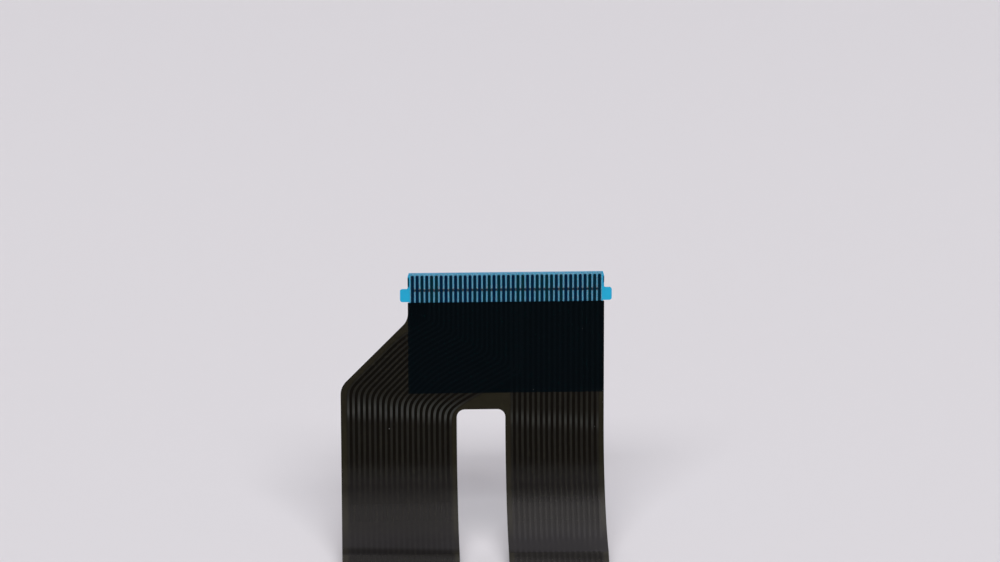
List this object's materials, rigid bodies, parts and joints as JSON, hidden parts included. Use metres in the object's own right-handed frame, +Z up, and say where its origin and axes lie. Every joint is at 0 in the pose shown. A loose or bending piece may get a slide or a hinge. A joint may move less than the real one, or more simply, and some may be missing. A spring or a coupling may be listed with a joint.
{
  "type": "laptop keyboard ribbon cable",
  "caption": "Flat printed ribbon tail of a laptop keyboard: two film legs rise from the table and join in a stiffened tongue with a row of contacts and two ears.",
  "frame": {"origin": "on the table, under the middle of the part's bounding box", "axes": "+Z up along the flat tongue, towards its tip; -Y the way the contacts face and the feet point; +X to the right as the contacts are seen"},
  "size_m": [0.0284, 0.0458, 0.0295],
  "materials": {
    "carrier_film": "clear polyester film, slightly hazy",
    "cover_film": "dark olive cover film, satin to glossy",
    "contact_ink": "dark conductive ink, satin",
    "mark_ink": "dark printed line",
    "adhesive": "clear adhesive film",
    "stiffener": "bright blue translucent polyester, glossy"
  },
  "bodies": {
    "root": {"carrier_film": "carrier_film", "cover_film": "cover_film", "conductor_01": "contact_ink", "conductor_02": "contact_ink", "conductor_03": "contact_ink", "conductor_04": "contact_ink", "conductor_05": "contact_ink", "conductor_06": "contact_ink", "conductor_07": "contact_ink", "conductor_08": "contact_ink", "conductor_09": "contact_ink", "conductor_10": "contact_ink", "conductor_11": "contact_ink", "conductor_12": "contact_ink", "conductor_13": "contact_ink", "conductor_14": "contact_ink", "conductor_15": "contact_ink", "conductor_16": "contact_ink", "conductor_17": "contact_ink", "conductor_18": "contact_ink", "conductor_19": "contact_ink", "conductor_20": "contact_ink", "conductor_21": "contact_ink", "conductor_22": "contact_ink", "conductor_23": "contact_ink", "conductor_24": "contact_ink", "conductor_25": "contact_ink", "conductor_26": "contact_ink", "conductor_27": "contact_ink", "conductor_28": "contact_ink", "conductor_29": "contact_ink", "conductor_30": "contact_ink", "conductor_31": "contact_ink", "conductor_32": "contact_ink", "conductor_33": "contact_ink", "conductor_34": "contact_ink", "conductor_35": "contact_ink", "conductor_36": "contact_ink", "conductor_37": "contact_ink", "conductor_38": "contact_ink", "conductor_39": "contact_ink", "conductor_40": "contact_ink", "edge_print": "contact_ink", "insertion_mark": "mark_ink", "stiffener_adhesive": "adhesive", "stiffener": "stiffener"}
  },
  "joints": []
}
